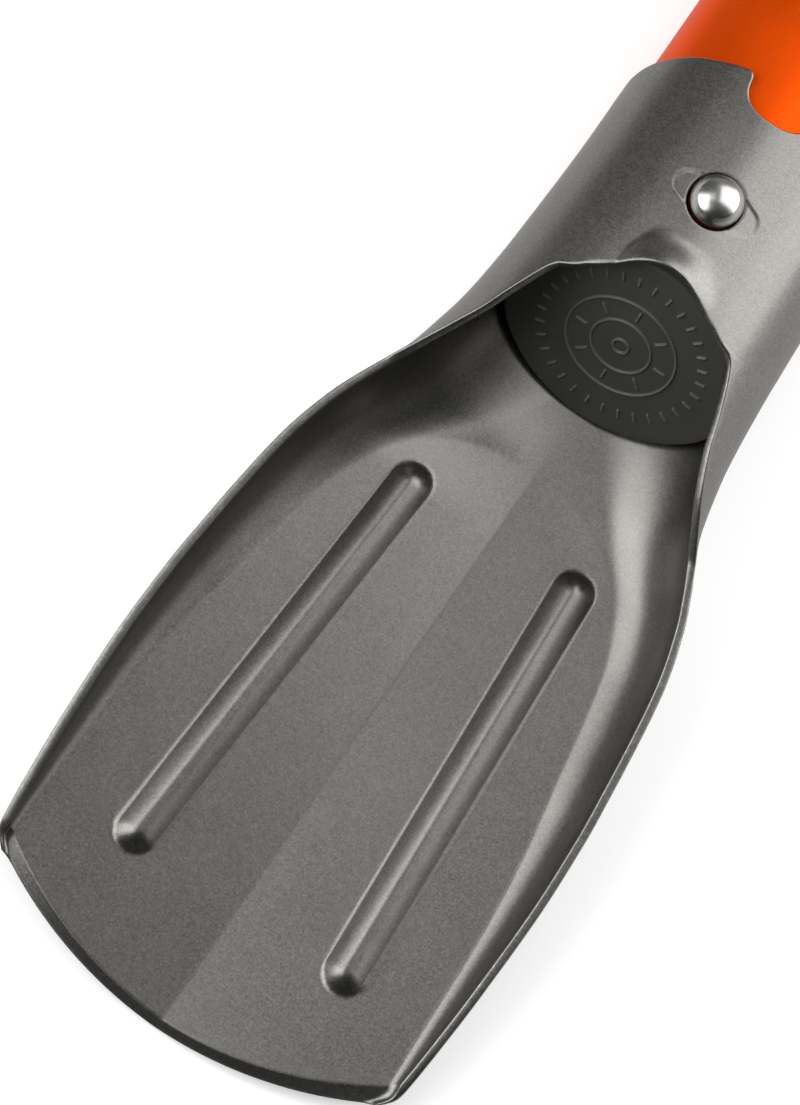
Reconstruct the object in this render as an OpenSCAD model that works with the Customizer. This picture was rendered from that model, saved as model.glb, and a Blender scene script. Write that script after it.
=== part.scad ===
// Camp shovel: a pressed scoop with an oval neck, and an oval storage handle that telescopes in it.
// X runs across the blade, +Y runs from the tip to the handle's butt, +Z is the blade's open front.
// The origin is under the middle of the extended shovel, on the plane that its back lies on.

/* [Overall] */
// Length from the tip to the butt, with the handle pulled out
overall_l = 254; // [252:1:262]
// Thickness of the pressed sheet
sheet_t = 1.4; // [1.2:0.1:1.6]

/* [Blade] */
// Radius of the curved digging edge
tip_r = 68; // [60:1:80]
// Thickness left at the ground digging edge
edge_t = 0.5; // [0.4:0.1:0.8]
// Slope of each floor panel up from the middle crease, in degrees
panel_slope = 5; // [4:0.5:6]
// Height of the two stiffening ribs
rib_h = 2; // [1.5:0.1:2.2]
// Width of a rib
rib_w = 7; // [6:0.5:8]
// Length of a rib, end to end
rib_l = 75; // [66:1:77]

/* [Neck] */
// Width of the neck over its outside at the mouth
neck_w = 44; // [44:0.5:45]
// Depth of the neck over its outside
neck_d = 34.5; // [34.5:0.5:35.5]
// Slant of the mouth and of the lid, in degrees from square
slant = 30; // [28:1:32]
// Distance from the tip to the middle of the mouth
mouth_at = 158.7; // [157:0.1:160]
// Distance from the tip to the collar's corners, where the neck closes
collar_at = 127.4; // [126.5:0.1:128]
// How far the collar's middle stands back from its corners
collar_rise = 5.3; // [4.5:0.1:5.5]
// Height of the lead-in ramp at the collar's middle
ramp_h = 1.6; // [1.2:0.1:1.8]
// Half width of the notch in the mouth's front lip
notch_r = 6.2; // [5.8:0.1:6.6]
// Depth of the notch
notch_l = 6; // [5.5:0.1:7]

/* [Handle] */
// Width of the handle tube
handle_w = 40.4; // [40:0.1:40.5]
// Depth of the handle tube
handle_d = 30.9; // [30.6:0.1:31]
// Wall of the handle tube
handle_t = 0.8; // [0.8:0.1:1.1]
// Radius of the oval's two narrow ends
oval_r = 12.4; // [12:0.1:12.8]
// Distance from the tip to the middle of the lid's face
lid_at = 123.4; // [122:0.1:123.6]
// Thickness of the lid's flange
lid_t = 2; // [1.6:0.1:2.2]
// Thickness of the end cap outside the tube
cap_t = 3; // [2.5:0.1:4]

/* [Button] */
// Distance from the tip to the button
button_at = 145.6; // [145.2:0.1:146.5]
// Radius of the button's dome and shank
button_r = 4.05; // [3.9:0.05:4.1]
// Radius of the locking hole in the neck
lock_hole_r = 4.4; // [4.35:0.05:4.5]
// Radius of the button's flange
flange_r = 5.6; // [5.4:0.1:5.8]
// Width of the spring band along the tube
band_w = 9; // [8:0.5:10]
// Thickness of the spring band
band_t = 0.6; // [0.5:0.1:0.7]

/* [Hidden] */
$fn = 64;
eps = 0.01;
reach = 120;

tip_y = -overall_l / 2;
axis_z = neck_d / 2;
floor_z = sheet_t;
bore_b = axis_z - sheet_t;
// Half width, half depth and top of the handle tube.
handle_a = handle_w / 2;
handle_b = handle_d / 2;
crown_z = axis_z + handle_b;

// Outer half width of the shell against the distance from the tip.
WIDTHS = [
    [8.6, 33.2], [9.6, 34.8], [10.6, 35.8], [12, 36.2], [20, 37], [30, 37.6], [45, 38],
    [57, 37.6], [66, 36.8], [75, 35.8], [83, 34.6], [92, 32.2], [97, 30.2], [101, 28.3],
    [105, 26.5], [110, 25.2], [116, 24], [122, 23.3], [130, neck_w / 2 + 0.7],
    [150, neck_w / 2], [180, neck_w / 2]
];
// Height of the rim against the distance from the tip, up to the collar's corners.
RIMS = [
    [8.6, 4.6], [10, 5.1], [12, 5.9], [14, 6.7], [20, 8.6], [33, 11.2], [46, 12.8], [60, 14], [73, 15.1],
    [85, 16.2], [95, 17.2], [101, 18.2], [103.4, 19.7], [106.7, 22.1], [108.8, 23.4], [111.5, 24.6],
    [115, 25.8], [118.7, 26.7], [121.8, 27.6], [collar_at, 29.2]
];
// Half width of the flat floor panels, which close to an arch in the throat.
PANELS = [
    [0, 34], [20, 33.6], [35, 33.1], [46, 32.2], [56, 30.8], [64, 29.3], [74, 27.6], [82, 25.9], [88, 23.6],
    [93, 21], [98, 16.6], [101.5, 10.6], [103, 5], [103.5, 0], [180, 0]
];
// Half width at which the side wall's fillet starts.
STARTS = [
    [0, 34], [20, 33.6], [35, 33.1], [46, 32.2], [56, 30.8], [64, 29.3], [74, 27.6], [82, 25.9], [88, 23.9],
    [94, 20.6], [100, 15.4], [106, 10], [112, 5.2], [117, 2], [121, 0.4], [123, 0], [180, 0]
];
// Share of the side wall's height that the fillet takes.
FILLETS = [[0, 0.6], [20, 0.7], [60, 0.8], [90, 0.9], [110, 1], [180, 1]];
// Where the panels' arch closes, how much the floor turns up along it, and how soon that levels off.
// The turn dies away towards the middle, within arch_soft of it.
arch_end = 103.5;
arch_kink = 10;
arch_fade = 4.5;
arch_soft = 8;

corner_z = RIMS[len(RIMS) - 1][1];
corner_angle = asin((corner_z - axis_z) / bore_b);

// ---------- Curves ----------

function clamp01(t) = max(0, min(1, t));
function ease(t) = let (c = clamp01(t)) c * c * (3 - 2 * c);
function mix(a, b, t) = a + (b - a) * t;

// The station below x, found by halving.
function below(x, p, lo, hi) =
    hi - lo <= 1 ? lo
    : let (m = floor((lo + hi) / 2)) p[m][0] <= x ? below(x, p, m, hi) : below(x, p, lo, m);

function secant(p, i) = (p[i + 1][1] - p[i][1]) / (p[i + 1][0] - p[i][0]);

// The slope at a station, flat where the curve turns.
function station_slope(p, i) =
    i <= 0 ? secant(p, 0)
    : i >= len(p) - 1 ? secant(p, len(p) - 2)
    : let (a = secant(p, i - 1), b = secant(p, i)) a * b <= 0 ? 0 : 2 * a * b / (a + b);

// A smooth curve through stations [position, value], which never overshoots them.
function through(p, x) =
    x <= p[0][0] ? p[0][1]
    : x >= p[len(p) - 1][0] ? p[len(p) - 1][1]
    : let (
        i = below(x, p, 0, len(p) - 1),
        h = p[i + 1][0] - p[i][0],
        t = (x - p[i][0]) / h,
        m0 = station_slope(p, i) * h,
        m1 = station_slope(p, i + 1) * h
    )
    (2 * t * t * t - 3 * t * t + 1) * p[i][1] + (t * t * t - 2 * t * t + t) * m0
    + (3 * t * t - 2 * t * t * t) * p[i + 1][1] + (t * t * t - t * t) * m1;

// A quarter of an ellipse as a conic from a to b with its corner at c.
function conic(a, c, b, t) =
    let (w = sqrt(0.5), k0 = (1 - t) * (1 - t), k1 = 2 * w * t * (1 - t), k2 = t * t)
    (k0 * a + k1 * c + k2 * b) / (k0 + k1 + k2);

// Length of a line of points up to point i, and the point at a length along it.
function lengths(p) = [
    for (i = 0, sum = 0; i < len(p); i = i + 1, sum = i < len(p) ? sum + norm(p[i] - p[i - 1]) : 0) sum
];
function point_at(p, l, x) =
    let (i = min(below(x, [for (v = l) [v]], 0, len(l) - 1), len(l) - 2))
    mix(p[i], p[i + 1], clamp01((x - l[i]) / max(l[i + 1] - l[i], eps / 100)));
function respace(p, n) =
    let (l = lengths(p), total = l[len(l) - 1]) [for (k = [0:n]) point_at(p, l, total * k / n)];

// ---------- Shell sections ----------

// How far the digging edge falls back at x.
function sag(x) = tip_r - sqrt(tip_r * tip_r - x * x);

// Half width of the shell's inner face at s from the tip. The blade's leaning wall is wall_lean across.
wall_lean = 1.2;
function inner_half(s) = through(WIDTHS, s) - mix(wall_lean, sheet_t, ease((s - 85) / 20));

// Slope of the floor, which flattens out through the throat.
function floor_slope(s) = tan(panel_slope) * (1 - ease((s - 90) / 22));

// Outline of the panels' arch, as points [half width, distance from the tip].
ARCH = [for (k = [0:60]) let (s = arch_end * k / 60) [through(PANELS, s), s]];

// How far the floor has turned up at the point [x, s], outside the panels' arch.
function arch_rise(x, s) =
    let (
        outside = s > arch_end || x > through(PANELS, s),
        gap = outside ? min([for (p = ARCH) norm([x, s] - p)]) : 0
    )
    tan(arch_kink) * arch_fade * (1 - exp(-gap / arch_fade)) * ease(x / arch_soft)
    * ease((s - 6) / 24) * (1 - ease((s - 104) / 16));

// The inner face's right half at s from the tip, from the middle of the floor to the rim.
function half_section(s) =
    let (
        w = inner_half(s),
        rim = through(RIMS, s),
        begin = min(through(STARTS, s), w - 1.2),
        slope = floor_slope(s),
        top = [w, min(rim, axis_z)],
        start = [begin, floor_z + begin * slope],
        corner = [w, floor_z + w * slope],
        share = through(FILLETS, s),
        end = mix(corner, top, share),
        turn = rim > axis_z ? asin((rim - axis_z) / bore_b) : 0,
        line = concat(
            begin > eps ? [for (i = [0:11]) mix([0, floor_z], start, i / 12)] : [],
            [for (i = [0:12]) conic(start, corner, end, i / 12)],
            share < 1 ? [top] : [],
            turn > 0 ? [for (i = [1:12]) [w * cos(turn * i / 12), axis_z + bore_b * sin(turn * i / 12)]] : []
        )
    )
    [for (p = line) p + [0, arch_rise(p[0], s) * (1 - ease((p[1] - corner[1]) / (top[1] - corner[1])))]];

// ---------- Shell grid ----------

half_cols = 26;
front_cols = 18;
open_cols = 2 * half_cols + 1;
ring_cols = open_cols + front_cols - 1;

// Width of the ground edge on the middle line, and how much wider it is at the tip's corners.
bevel_l = 1.1;
bevel_spread = 2.2;
tip_corner_x = 36;
// Rows of the open scoop, as distances from the tip along the middle line.
OPEN_ROWS = concat(
    [0, bevel_l, 6], [for (s = [10:3.9:84]) s], [for (s = [87:2.9:122]) s], [124.8]
);
neck_rows = 7;
// Where the rows have straightened out from the curve of the digging edge.
tip_blend = 34;

// The station whose section a row takes, which is the row's own place at the rim.
function rim_station(s) =
    s + sag(tip_blend) * clamp01(1 - s / tip_blend) + (s == bevel_l ? bevel_spread - eps : 0);

// Mirrors the right half into a full line from the left rim to the right rim.
function full_line(h) = concat(
    [for (k = [len(h) - 1:-1:1]) [-h[k][0], h[k][1]]], h
);

function open_row(s) =
    let (
        line = full_line(respace(half_section(rim_station(s)), half_cols)),
        fade = clamp01(1 - s / tip_blend)
    )
    [
        for (p = line)
            let (bevel = s == bevel_l ? bevel_spread * pow(p[0] / tip_corner_x, 2) : 0)
            [p[0], s + sag(p[0]) * fade + bevel, p[1]]
    ];

// The mouth's plane, and the front edge of the collar.
function mouth_y(z) = mouth_at + (z - axis_z) * tan(slant);
function collar_y(x) =
    collar_at + collar_rise * pow(cos(90 * min(1, abs(x) / collar_x)), 2);
collar_x = inner_half(collar_at) * cos(corner_angle);

function ring_row(k) =
    let (
        f = k / neck_rows,
        s = mix(collar_at, mouth_at, f),
        w = inner_half(s),
        sides = full_line(respace(half_section(s), half_cols)),
        front = [
            for (i = [1:front_cols - 1])
                let (a = mix(corner_angle, 180 - corner_angle, i / front_cols))
                [w * cos(a), axis_z + bore_b * sin(a)]
        ]
    )
    concat(
        [for (p = sides) [p[0], mix(collar_at, mouth_y(p[1]), f), p[1]]],
        [for (p = front) [p[0], mix(collar_y(p[0]), mouth_y(p[1]), f), p[1]]]
    );

// Outward direction of a row at column k, in the row's own plane.
function outward(row, k, closed) =
    let (
        n = len(row),
        a = closed ? row[(k + n - 1) % n] : row[max(k - 1, 0)],
        b = closed ? row[(k + 1) % n] : row[min(k + 1, n - 1)],
        d = [b[0] - a[0], b[2] - a[2]]
    )
    [d[1], 0, -d[0]] / norm(d);

// Height of the ribs at a point of the floor: a low arc across, with round ends.
// rib_x is a rib's distance from the middle line at rib_mid from the tip, and the two spread towards the tip.
rib_x = 17;
rib_mid = 56.5;
rib_splay = 3.3;
rib_arc = (pow(rib_w / 2, 2) + rib_h * rib_h) / (2 * rib_h);
function rib(p) =
    let (
        dy = p[1] - rib_mid,
        across = (abs(p[0]) - rib_x + dy * tan(rib_splay)) * cos(rib_splay),
        along = max(0, abs(dy) - (rib_l - rib_w) / 2),
        r = norm([across, along])
    )
    r > rib_w / 2 || p[2] > axis_z / 2 ? 0 : sqrt(rib_arc * rib_arc - r * r) - rib_arc + rib_h;

// Height of the lead-in ramp at a point of the neck.
ramp_l = 6.5;
ramp_x = 6.8;
ramp_top = 3.6;
function ramp(p) =
    let (
        along = (p[1] - collar_at - collar_rise + 1) / ramp_l,
        across = (abs(p[0]) - ramp_top) / (ramp_x - ramp_top)
    )
    p[2] < axis_z ? 0 : ramp_h * (1 - ease(along)) * (1 - ease(across));

function faces_of(row, closed, thin) = [
    for (k = [0:len(row) - 1])
        let (n = outward(row, k, closed), p = row[k] + n * (ramp(row[k]) - rib(row[k])))
        [p + n * (sheet_t - thin), p + n * sheet_t]
];

OPEN = [for (i = [0:len(OPEN_ROWS) - 1]) open_row(OPEN_ROWS[i])];
RING = [for (k = [0:neck_rows]) ring_row(k)];
SKIN = concat(
    [for (i = [0:len(OPEN) - 1]) faces_of(OPEN[i], false, i == 0 ? edge_t : sheet_t)],
    [for (r = RING) faces_of(r, true, sheet_t)]
);
open_n = len(OPEN);
row_n = open_n + neck_rows + 1;

// Number of the point at row i, column j, on the inner (0) or outer (1) face.
function vertex(i, j, side) =
    2 * (i <= open_n ? i * open_cols + j : open_n * open_cols + (i - open_n) * ring_cols + j) + side;
function vertex_in_ring(i, j, side) = vertex(i, j % ring_cols, side);

// Two triangles for a cell, wound to face in or out.
function cell(a, b, c, d, flip) = flip ? [[a, c, b], [a, d, c]] : [[a, b, c], [a, c, d]];

function sheet_cells(i, j0, j1) = [
    for (j = [j0:j1 - 1], side = [0, 1], t = cell(
        vertex_in_ring(i, j, side), vertex_in_ring(i, j + 1, side),
        vertex_in_ring(i + 1, j + 1, side), vertex_in_ring(i + 1, j, side), side == 0
    )) t
];
function edge_along_row(i, j0, j1, flip) = [
    for (j = [j0:j1 - 1], t = cell(
        vertex_in_ring(i, j, 0), vertex_in_ring(i, j + 1, 0),
        vertex_in_ring(i, j + 1, 1), vertex_in_ring(i, j, 1), flip
    )) t
];
function edge_along_column(j, flip) = [
    for (i = [0:open_n - 1], t = cell(
        vertex(i, j, 0), vertex(i + 1, j, 0), vertex(i + 1, j, 1), vertex(i, j, 1), flip
    )) t
];

module sheet() {
    last = open_cols - 1;
    points = [for (r = SKIN, pair = r, p = pair) p + [0, tip_y, 0]];
    faces = concat(
        [for (i = [0:open_n - 1], t = sheet_cells(i, 0, last)) t],
        [for (i = [open_n:row_n - 2], t = sheet_cells(i, 0, ring_cols)) t],
        edge_along_row(0, 0, last, false),
        edge_along_row(open_n, last, ring_cols, false),
        edge_along_row(row_n - 1, 0, ring_cols, true),
        edge_along_column(0, true),
        edge_along_column(last, false)
    );
    polyhedron(points, [for (f = faces) [f[0], f[2], f[1]]], convexity = 8);
}

module blade_shell() {
    color([0.42, 0.41, 0.40])
        difference() {
            sheet();
            translate([0, tip_y + button_at, axis_z])
                cylinder(r = lock_hole_r, h = neck_d);
            mouth_notch();
        }
}

// A round-bottomed slot from above, open through the mouth's front lip.
module mouth_notch() {
    bottom = mouth_y(neck_d) - notch_l;
    translate([0, tip_y + bottom + notch_r, axis_z]) {
        cylinder(r = notch_r, h = neck_d);
        translate([-notch_r, 0, 0])
            cube([2 * notch_r, 3 * notch_l, neck_d]);
    }
}

// ---------- Oval bars ----------

// An oval of four tangent arcs, brought in by inset all round.
module oval(inset) {
    side = handle_a - oval_r;
    big = (side * side + handle_b * handle_b - oval_r * oval_r) / (2 * (handle_b - oval_r));
    drop = big - handle_b;
    for (s = [-1, 1]) {
        translate([s * side, 0])
            circle(r = oval_r - inset);
        intersection() {
            translate([0, -s * drop])
                circle(r = big - inset);
            polygon([
                [0, -s * drop],
                [reach * side, s * drop * (reach - 1)],
                [-reach * side, s * drop * (reach - 1)]
            ]);
        }
    }
}

// A straight bar of that oval along the handle's axis, between two distances from the tip.
module oval_bar(from, to, inset) {
    translate([0, tip_y + from, axis_z])
        rotate([-90, 0, 0])
            linear_extrude(to - from)
                oval(inset);
}

// Everything on the tip's side of a slanted plane that crosses the axis at a distance from the tip.
module tipward(at) {
    translate([0, tip_y + at, axis_z])
        rotate([-slant, 0, 0])
            translate([-reach / 2, -reach, -reach / 2])
                cube([reach, reach, reach]);
}

// The tube runs from behind the lid's flange to the end cap. Its slanted end is cut from a longer bar.
tube_from = lid_at + lid_t / cos(slant);
tube_to = overall_l - cap_t;
bar_start = 80;

module handle_tube() {
    color([0.93, 0.36, 0.03])
        difference() {
            oval_bar(bar_start, tube_to, 0);
            oval_bar(bar_start - 1, tube_to + 1, handle_t);
            tipward(tube_from);
            translate([0, tip_y + button_at, axis_z])
                cylinder(r = lock_hole_r, h = neck_d);
        }
}

// The cap stands proud of the tube, steps in at its end face and plugs into the tube.
cap_proud = 0.8;
cap_step_t = 1;
cap_step_in = 0.4;
cap_plug = 12;
cap_wall = 2;
module end_cap() {
    color([0.08, 0.08, 0.08]) {
        oval_bar(tube_to, overall_l - cap_step_t, -cap_proud);
        oval_bar(overall_l - cap_step_t, overall_l, cap_step_in);
        difference() {
            oval_bar(tube_to - cap_plug, tube_to + eps, handle_t);
            oval_bar(tube_to - cap_plug - 1, tube_to + eps, handle_t + cap_wall);
        }
    }
}

// The lid's flange covers the tube's end, and its skirt slides into the tube up to skirt_to.
flange_inset = 0.1;
skirt_gap = 0.15;
skirt_wall = 2.2;
skirt_to = 138.5;
// Half width, place and depth of the seal, and its clearance in the groove.
seal_r = 0.9;
seal_at = 135.8;
seal_depth = 1.4;
seal_gap = 0.1;

module storage_lid() {
    color([0.13, 0.13, 0.12]) {
        difference() {
            oval_bar(bar_start, tube_to, flange_inset);
            tipward(lid_at);
            difference() {
                oval_bar(bar_start, tube_to + 1, -1);
                tipward(tube_from);
            }
        }
        difference() {
            oval_bar(bar_start, skirt_to, handle_t + skirt_gap);
            oval_bar(bar_start - 1, skirt_to + 1, handle_t + skirt_gap + skirt_wall);
            tipward(tube_from - eps);
            seal_groove();
        }
        lid_motif();
    }
}

// The groove runs square round the skirt, near its end.
module seal_groove() {
    difference() {
        oval_bar(seal_at - seal_r, seal_at + seal_r, 0);
        oval_bar(seal_at - 2 * seal_r, seal_at + 2 * seal_r, handle_t + seal_depth);
    }
}

module lid_seal() {
    color([0.05, 0.05, 0.05])
        difference() {
            oval_bar(seal_at - seal_r + seal_gap, seal_at + seal_r - seal_gap, handle_t + seal_gap);
            oval_bar(seal_at - 2 * seal_r, seal_at + 2 * seal_r, handle_t + seal_depth - seal_gap);
        }
}

// A plain dial of raised marks on the lid's face: three rings, eight ticks between them and a ring of dashes.
motif_h = 0.35;
motif_line = 0.45;
motif_rings = [1.3, 5, 9.2];
tick_ring_r = 7.1;
tick_l = 2;
tick_n = 8;
dash_ring_r = 13.6;
dash_l = 1.6;
dash_n = 32;
module lid_motif() {
    translate([0, tip_y + lid_at, axis_z])
        rotate([90 - slant, 0, 0]) {
            dashes(dash_ring_r, dash_l, dash_n);
            dashes(tick_ring_r, tick_l, tick_n);
            for (r = motif_rings)
                difference() {
                    cylinder(r = r + motif_line / 2, h = 2 * motif_h, center = true);
                    cylinder(r = r - motif_line / 2, h = 3 * motif_h, center = true);
                }
        }
}

// Raised lines of length l that point at the dial's middle, n of them evenly round a ring of radius r.
module dashes(r, l, n) {
    for (i = [0:n - 1])
        rotate(i * 360 / n)
            translate([r, 0, 0])
                cube([l, motif_line, 2 * motif_h], center = true);
}

// The button's flange sits under the tube's wall, and its shank ends in a dome.
// A riveted tenon under the flange holds the spring band.
flange_t = 1.2;
flange_drop = 0.9;
flange_top = crown_z - handle_t - flange_drop;
seat_z = flange_top - flange_t;
shank_top = 33;
tenon_r = 1.5;
tenon_head_r = 2.4;
tenon_head_t = 0.6;
tenon_head_gap = 0.25;

module snap_button() {
    tenon_z = seat_z - band_t - tenon_head_gap - tenon_head_t;
    color([0.85, 0.85, 0.86])
        translate([0, tip_y + button_at, 0]) {
            translate([0, 0, shank_top])
                intersection() {
                    sphere(r = button_r);
                    cylinder(r = 2 * button_r, h = 2 * button_r);
                }
            translate([0, 0, flange_top - eps])
                cylinder(r = button_r, h = shank_top - flange_top + 2 * eps);
            translate([0, 0, seat_z])
                cylinder(r = flange_r, h = flange_t);
            translate([0, 0, tenon_z])
                cylinder(r = tenon_r, h = seat_z - tenon_z + eps);
            translate([0, 0, tenon_z])
                cylinder(r = tenon_head_r, h = tenon_head_t);
        }
}

// The band leaves the tube's wall at band_hip, and its two ends stop band_open apart.
band_hip = [15.2, 8.6];
band_open = 8;
band_join = 0.8;
band_gap = 0.1;
band_fit = 0.05;

// A C-shaped strip that follows the tube's inside wall and bows under the button.
module band_profile() {
    wall = handle_t + band_gap;
    seat = seat_z - axis_z;
    bow_h = seat - band_hip[1];
    bow_r = (pow(band_hip[0], 2) + bow_h * bow_h) / (2 * bow_h);
    difference() {
        oval(wall);
        oval(wall + band_t);
        translate([-reach / 2, band_hip[1]])
            square([reach, reach]);
        translate([-band_open / 2, -reach])
            square([band_open, reach]);
    }
    intersection() {
        difference() {
            translate([0, seat - bow_r])
                circle(r = bow_r);
            translate([0, seat - bow_r])
                circle(r = bow_r - band_t);
        }
        oval(wall);
        translate([-reach / 2, band_hip[1] - band_join])
            square([reach, reach]);
    }
}

module spring_band() {
    color([0.6, 0.6, 0.62])
        difference() {
            translate([0, tip_y + button_at + band_w / 2, axis_z])
                rotate([90, 0, 0])
                    linear_extrude(band_w)
                        band_profile();
            translate([0, tip_y + button_at, axis_z])
                cylinder(r = tenon_r + band_fit, h = neck_d);
        }
}

blade_shell();
handle_tube();
end_cap();
storage_lid();
lid_seal();
snap_button();
spring_band();
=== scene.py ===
"""Camp shovel: high-detail meshes, materials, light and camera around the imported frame.

Lengths are in millimetres until they reach Blender. s is a distance from the digging tip along +Y.
"""

import math

import bmesh
import bpy
import numpy as np
from mathutils import Matrix, Vector


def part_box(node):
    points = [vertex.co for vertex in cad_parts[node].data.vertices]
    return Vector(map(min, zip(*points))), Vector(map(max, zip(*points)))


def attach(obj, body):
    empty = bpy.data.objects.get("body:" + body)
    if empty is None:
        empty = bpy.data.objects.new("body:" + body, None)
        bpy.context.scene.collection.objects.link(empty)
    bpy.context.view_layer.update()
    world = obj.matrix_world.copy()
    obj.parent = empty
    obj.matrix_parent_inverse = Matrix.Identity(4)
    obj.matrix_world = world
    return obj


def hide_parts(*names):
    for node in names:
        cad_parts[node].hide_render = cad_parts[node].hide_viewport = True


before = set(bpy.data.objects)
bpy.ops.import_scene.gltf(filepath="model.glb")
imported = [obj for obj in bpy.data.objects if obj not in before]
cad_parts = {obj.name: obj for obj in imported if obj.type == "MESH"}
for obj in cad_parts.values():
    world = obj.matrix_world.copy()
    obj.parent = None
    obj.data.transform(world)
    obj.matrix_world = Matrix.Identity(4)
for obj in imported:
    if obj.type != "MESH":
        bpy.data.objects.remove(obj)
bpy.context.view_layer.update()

MM = 0.001


def mm_box(node):
    low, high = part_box(node)
    return np.array(low) / MM, np.array(high) / MM


# ---------------------------------------------------------------- dimensions

BLADE_LO, BLADE_HI = mm_box("blade_shell")
BUTTON_LO, BUTTON_HI = mm_box("snap_button")
TUBE_HI = mm_box("handle_tube")[1]
CAP_HI = mm_box("end_cap")[1]

TIP_Y = BLADE_LO[1]
SHEET = 1.4
NECK_D = 34.5
AXIS_Z = NECK_D / 2
BORE_B = AXIS_Z - SHEET
SLANT = math.tan(math.radians(30))
MOUTH_AT = BLADE_HI[1] - TIP_Y - AXIS_Z * SLANT
TIP_R = 68.0
EDGE_T = 0.5
TIP_BLEND = 34.0
PANEL_SLOPE = math.tan(math.radians(5))
WALL_LEAN = 1.2

BUTTON_AT = (BUTTON_LO[1] + BUTTON_HI[1]) / 2 - TIP_Y
HOLE_R = 4.4
FLANGE_R = (BUTTON_HI[0] - BUTTON_LO[0]) / 2

COLLAR_AT = 127.4
COLLAR_RISE = 5.3
# The mouth's notch: half width, length, radius of its lips, and the power of its bowl's superellipse.
NOTCH_R, NOTCH_L, NOTCH_LIP, NOTCH_POWER = 6.2, 6.0, 1.1, 2.4

# Each table is a size against s. WIDTHS is the shell's outer half width and RIMS its rim's height.
WIDTHS = [
    (8.6, 33.2), (9.6, 34.8), (10.6, 35.8), (12, 36.2), (20, 37), (30, 37.6), (45, 38),
    (57, 37.6), (66, 36.8), (75, 35.8), (83, 34.6), (92, 32.2), (97, 30.2), (101, 28.3),
    (105, 26.5), (110, 25.2), (116, 24), (122, 23.3), (130, 22.7), (150, 22), (180, 22),
]
RIMS = [
    (8.6, 4.6), (10, 5.1), (12, 5.9), (14, 6.7), (20, 8.6), (33, 11.2), (46, 12.8), (60, 14), (73, 15.1),
    (85, 16.2), (95, 17.2), (101, 18.2), (103.4, 19.7), (106.7, 22.1), (108.8, 23.4), (111.5, 24.6),
    (115, 25.8), (118.7, 26.7), (121.8, 27.6), (124.5, 28.4), (125.8, 28.85), (126.7, 29.35), (127.2, 29.8),
    (COLLAR_AT, 30.2),
]
# PANELS is the half width of the flat floor panels and STARTS that of the foot of the side wall's fillet.
PANELS = [
    (0, 34), (20, 33.6), (35, 33.1), (46, 32.2), (56, 30.8), (64, 29.3), (74, 27.6), (82, 25.9), (88, 23.6),
    (93, 21), (98, 16.6), (101.5, 10.6), (103, 5), (103.5, 0), (180, 0),
]
STARTS = [
    (0, 34), (20, 33.6), (35, 33.1), (46, 32.2), (56, 30.8), (64, 29.3), (74, 27.6), (82, 25.9), (88, 23.9),
    (94, 20.6), (100, 15.4), (106, 10), (112, 5.2), (117, 2), (121, 0.4), (123, 0), (180, 0),
]
# The share of the side wall's height that the fillet takes.
FILLETS = [(0, 0.6), (20, 0.7), (60, 0.8), (90, 0.9), (110, 1), (180, 1)]
# The panels close to an arch at ARCH_END. Outside it the floor turns up by ARCH_KINK and levels off over
# ARCH_FADE, and all of this dies away within ARCH_SOFT of the middle.
ARCH_END = 103.5
ARCH_KINK = math.tan(math.radians(10))
ARCH_FADE = 4.5
ARCH_SOFT = 11.0

# Where along the blade the side walls become upright and the floor levels off, and where the turn-up outside
# the arch comes in and dies away again.
UPRIGHT, LEVEL, ARCH_IN, ARCH_OUT = (85, 105), (90, 112), (6, 30), (104, 120)
FILLET_MIN = 1.2

# A rib's distance from the middle line at RIB_MID, and its size. The two ribs spread towards the tip.
RIB_X, RIB_MID, RIB_L, RIB_W, RIB_H = 17.0, 56.5, 75.0, 7.0, 2.0
RIB_SPLAY = math.radians(3.3)

# ---------------------------------------------------------------- curves


def ease(t):
    """Goes from 0 to 1 as t does, with a soft start and end."""
    t = np.clip(t, 0, 1)
    return t * t * (3 - 2 * t)


def across_span(x, span):
    """Goes from 0 to 1 as x crosses the span."""
    return ease((x - span[0]) / (span[1] - span[0]))


def mix(a, b, t):
    """Goes from a to b as t goes from 0 to 1."""
    return a + (b - a) * t


def through(stations, x):
    """A smooth curve through (position, value) stations that never overshoots them."""
    px, py = np.array(stations, float).T
    rise = np.diff(py) / np.diff(px)
    same = rise[:-1] * rise[1:] > 0
    inner = np.where(same, 2 * rise[:-1] * rise[1:] / np.where(same, rise[:-1] + rise[1:], 1), 0)
    slope = np.concatenate([[rise[0]], inner, [rise[-1]]])
    x = np.clip(np.asarray(x, float), px[0], px[-1])
    i = np.clip(np.searchsorted(px, x, side="right") - 1, 0, len(px) - 2)
    h = px[i + 1] - px[i]
    t = (x - px[i]) / h
    return (
        (2 * t**3 - 3 * t**2 + 1) * py[i]
        + (t**3 - 2 * t**2 + t) * slope[i] * h
        + (3 * t**2 - 2 * t**3) * py[i + 1]
        + (t**3 - t**2) * slope[i + 1] * h
    )


def conic(a, corner, b, t):
    """A quarter of an ellipse from a to b with its tangents meeting at corner."""
    t = t[:, None]
    k0, k1, k2 = (1 - t) ** 2, math.sqrt(2) * t * (1 - t), t**2
    return (k0 * a + k1 * corner + k2 * b) / (k0 + k1 + k2)


def run_lengths(line):
    return np.concatenate([[0], np.cumsum(np.linalg.norm(np.diff(line, axis=0), axis=1))])


def at_lengths(line, run, where):
    return np.stack([np.interp(where, run, line[:, k]) for k in range(line.shape[1])], axis=1)


def knots(values, counts):
    """Evenly filled values between each pair of knots, with every knot kept."""
    parts = [np.linspace(a, b, n + 1)[:-1] for a, b, n in zip(values[:-1], values[1:], counts)]
    return np.concatenate(parts + [[values[-1]]])


# ---------------------------------------------------------------- mesh building

# The most that one rounded corner may take of a sheet's thickness.
CORNER_SHARE = 0.42


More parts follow.
